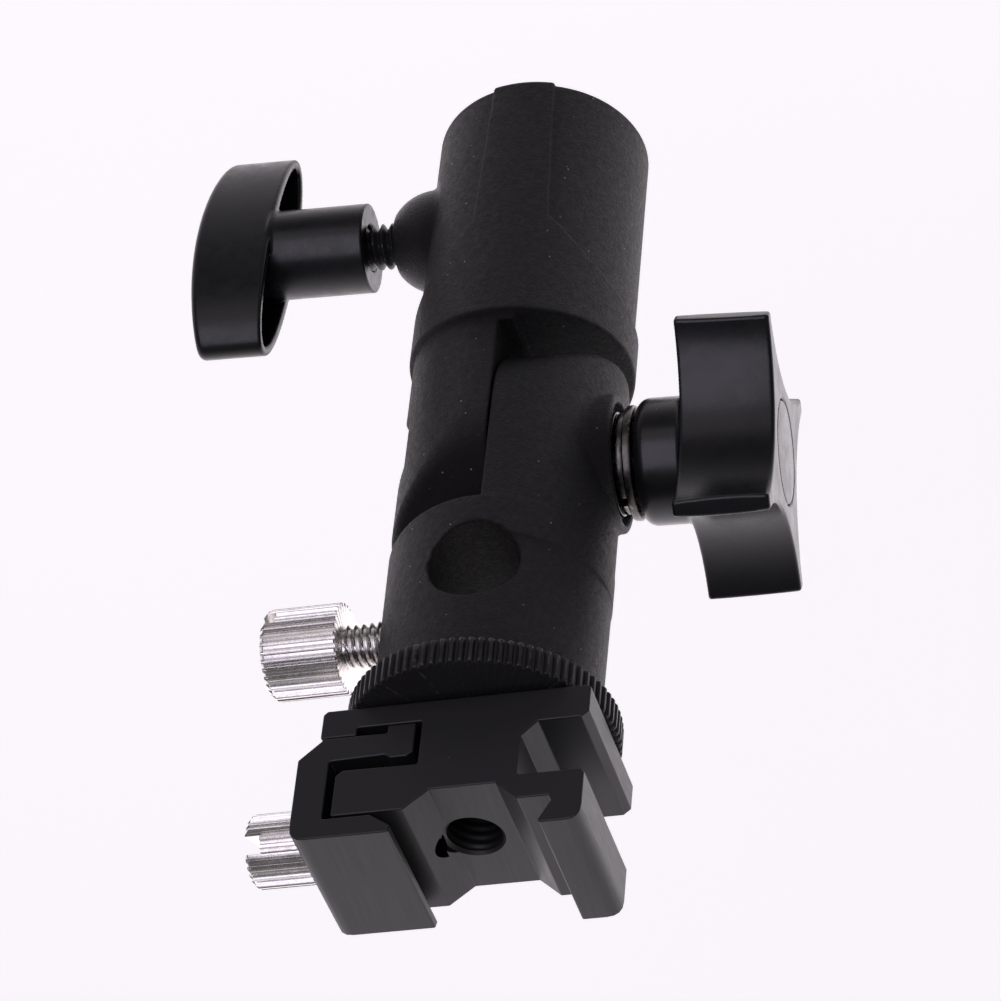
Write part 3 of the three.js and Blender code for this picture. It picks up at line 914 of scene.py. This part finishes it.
# ------------------------------------------------------------------ ring and stud
ring_corners = [(STUD_BORE_R, RING_Z), (RING_R, RING_Z), (RING_R, RING_TOP_Z), (STUD_BORE_R, RING_TOP_Z)]
ring_profile = rounded(ring_corners, 0.35, 3)
ring_mesh = lathe("knurled_ring", ring_profile, RING_TEETH * 8, knurl(RING_R, RING_TEETH), closed=True)
piece(sharpen(ring_mesh, 35), "ring", BLACK_STEEL, ["locking_ring"])
stud_mesh = threaded_bar("stud", QUARTER_INCH_R, QUARTER_INCH_PITCH, HOLDER_TOP_Z - 6.6, SHOE_Z + 6.4)
piece(sharpen(stud_mesh, 50), "upper", PLAIN_STEEL, ["shoe_stud"])

# ------------------------------------------------------------------ flash shoe, in its own frame
CLAMP_V = 0.4
CLAMP_W = 12.0
CLAMP_BORE_R = 2.7
SEAT_W = 15.5
FLOOR_W = 13.0
BLOCK = [
    (-15.6, 0), (16.4, 0), (16.9, 0.5), (16.9, 4), (12.4, 4), (12.4, 2.9), (4.4, 2.9), (4.4, 9.1),
    (13.6, 9), (14.4, 9.8), (14.4, SEAT_W), (5.6, SEAT_W), (2.6, FLOOR_W), (-5.4, FLOOR_W), (-8.2, SEAT_W),
    (-12, SEAT_W), (-12.3, 16.2), (-10.9, 18.8), (-11.1, 19.2), (-16, 19.2), (-16, 12.6),
    (-15.6, 12.1), (-7.95, 12.1), (-7.95, 6.5), (-9.9, 4.6), (-15.1, 4.6), (-16, 3.8), (-16, 0.4),
]
JAW = [
    (5.1, 3.0), (8.6, 3.0), (8.6, 4.1), (16.4, 4.1), (19.35, 6.9), (19.3, 18.5), (7.1, 18.5),
    (6.9, 17.6), (9.5, 15.8), (15.4, 15.8), (15.4, 7.5), (8.6, 7.3), (7.9, 7.8), (5.9, 7.8), (5.1, 7.2),
]
ROUND_CORNERS = {(-16, 19.2): 2, (19.3, 18.5): 2}
CLAMP_FRAME = SHOE_FRAME @ facing(0, CLAMP_V, CLAMP_W, (1, 0, 0))


def hole(radius, low, high, mouth=None):
    """A cutter about Z, wider at its top where a mouth radius is given."""
    profile = [(0, low), (radius, low)]
    if mouth:
        profile += [(radius, high - (mouth - radius)), (mouth, high), (mouth, high + 1), (0, high + 1)]
    else:
        profile += [(radius, high), (0, high)]
    return lathe("hole", profile, 64)


def along_u(mesh):
    mesh.transform(facing(0, CLAMP_V, CLAMP_W, (1, 0, 0)))
    return mesh


def extrusion(name, outline):
    radii = [ROUND_CORNERS.get(point, 0.3) for point in outline]
    return bevelled(prism_along_y(name, rounded(outline, radii, 4), SHOE_HALF_LENGTH), 0.2, 50)


def shoe_block():
    block = extrusion("shoe_rail", BLOCK)
    through = threaded_bar("through", 3.5, QUARTER_INCH_PITCH, -1, FLOOR_W + 1, depth=0.2, chamfer=0.1)
    entry = hole(radius=3.2, low=FLOOR_W - 3, high=FLOOR_W, mouth=3.8)
    tapped = along_u(hole(CLAMP_BORE_R, low=3.6, high=16))
    return even_faces(carve(block, through, entry, tapped), 32)


def shoe_jaw():
    jaw = extrusion("shoe_jaw_rail", JAW)
    bore = along_u(hole(CLAMP_BORE_R, low=14, high=20.5))
    clip_seat = along_u(hole(radius=3.4, low=14, high=16.1))
    return even_faces(carve(jaw, bore, clip_seat), 32)


piece(shoe_block(), "shoe", ANODISED, ["shoe_block"], SHOE_FRAME)
piece(shoe_jaw(), "jaw", ANODISED, ["shoe_jaw"], SHOE_FRAME)
clamp_head = knurled_head(
    "head", radius=4.5, teeth=26, low=19.65, high=27.4, edge=0.45,
    slot_width=2.3, slot_depth=2.0, slot_turn=-0.42,
)
clamp_shank = threaded_bar("shank", radius=2.45, pitch=0.8, low=5.2, high=19.9, segments=48)
clamp_mesh = sharpen(joined("shoe_thumb_screw", clamp_head, clamp_shank), 38)
piece(clamp_mesh, "clamp_screw", NICKEL, ["shoe_clamp_screw"], CLAMP_FRAME)


# ------------------------------------------------------------------ CAD nodes that keep their shape
KEPT_NODES = {
    "tilt_bolt": PLAIN_STEEL,
    "lug_friction_disc": FIBRE,
    "tilt_knob_insert": BRASS,
    "stand_lock_pad": BRASS,
    "umbrella_screw_tip": NYLON,
    "shoe_clamp_clip": PLAIN_STEEL,
}
for name, material in KEPT_NODES.items():
    node = frame["nodes"][name]
    node.data.materials.clear()
    node.data.materials.append(material)
    bevel = node.modifiers.new("edges", "BEVEL")
    bevel.width = 0.12 * MM
    bevel.segments = 2
    bevel.limit_method = "ANGLE"
    bevel.angle_limit = math.radians(40)
    sharpen(node.data, 30)

# ------------------------------------------------------------------ floor, light and camera, in metres
FLOOR_Z = -0.12
FLOOR_GLOW = 0.64
FRONT_LIGHT = 0.1
KEY_POWER = 3.2
FRONT_POWER = 0.4
BACK_LIGHT = 1.4
BACKDROP = 0.92
BRIGHT_SIDE = (0.0, 0.8, -0.4)
WORLD_COLOR = (1, 0.945, 0.995, 1)
LIGHTS_AIM = (0, 0, 0.06)
CAMERA_AT = (-0.10555, -0.37994, 0.38919)
CAMERA_AZIMUTH = math.radians(-15.684)
CAMERA_ELEVATION = math.radians(39.803)
CAMERA_ROLL = math.radians(186.1)
CAMERA_LENS = 147.18


def floor():
    m = Recipe("floor", (0.8, 0.78, 0.81), roughness=0.8, specular=0.1)
    m.rough(m.noise(0.02, 2), 0.75, 0.85)
    m.shader.inputs["Emission Color"].default_value = (1, 0.985, 1, 1)
    m.shader.inputs["Emission Strength"].default_value = FLOOR_GLOW
    bpy.ops.mesh.primitive_plane_add(size=8, location=(0, 0, FLOOR_Z))
    plane = bpy.context.object
    plane.name = "studio_floor"
    plane.visible_glossy = False
    plane.visible_diffuse = False
    plane.data.materials.append(m.material)


def softbox(name, place, size, power, color):
    light = bpy.data.lights.new(name, "AREA")
    light.shape = "RECTANGLE"
    light.size, light.size_y = size
    light.energy = power
    light.color = color
    lamp = bpy.data.objects.new(name, light)
    bpy.context.scene.collection.objects.link(lamp)
    lamp.location = place
    lamp.rotation_euler = (Vector(LIGHTS_AIM) - Vector(place)).to_track_quat("-Z", "Y").to_euler()


def studio():
    """A room that is bright behind the object and dark in front of it."""
    world = bpy.data.worlds.new("studio")
    world.use_nodes = True
    nodes, links = world.node_tree.nodes, world.node_tree.links
    background = nodes["Background"]
    background.inputs["Color"].default_value = WORLD_COLOR
    direction = nodes.new("ShaderNodeTexCoord")
    towards = nodes.new("ShaderNodeVectorMath")
    towards.operation = "DOT_PRODUCT"
    towards.inputs[1].default_value = BRIGHT_SIDE
    links.new(direction.outputs["Generated"], towards.inputs[0])
    glow = nodes.new("ShaderNodeMapRange")
    glow.interpolation_type = "SMOOTHSTEP"
    set_range(glow, -0.4, 0.85, FRONT_LIGHT, BACK_LIGHT)
    links.new(towards.outputs["Value"], glow.inputs["Value"])
    rays = nodes.new("ShaderNodeLightPath")
    seen = nodes.new("ShaderNodeMix")
    seen.inputs["B"].default_value = BACKDROP
    links.new(rays.outputs["Is Camera Ray"], seen.inputs["Factor"])
    links.new(glow.outputs["Result"], seen.inputs["A"])
    links.new(seen.outputs["Result"], background.inputs["Strength"])
    bpy.context.scene.world = world
    softbox("key", (0.22, -0.88, 0.52), (0.7, 0.95), KEY_POWER, (0.88, 0.84, 1.0))
    softbox("front", (0.2, -0.98, -0.12), (0.7, 0.36), FRONT_POWER, (1.0, 0.93, 0.97))
    bpy.context.scene.view_settings.view_transform = "Standard"


def camera():
    data = bpy.data.cameras.new("camera")
    data.sensor_width = 36
    data.lens = CAMERA_LENS
    data.clip_start = 0.01
    made = bpy.data.objects.new("camera", data)
    bpy.context.scene.collection.objects.link(made)
    turn = Matrix.Rotation(CAMERA_AZIMUTH, 4, "Z") @ Matrix.Rotation(math.pi / 2 - CAMERA_ELEVATION, 4, "X")
    roll = Matrix.Rotation(CAMERA_ROLL, 4, "Z")
    made.matrix_world = Matrix.Translation(CAMERA_AT) @ turn @ roll
    bpy.context.scene.camera = made


floor()
studio()
camera()
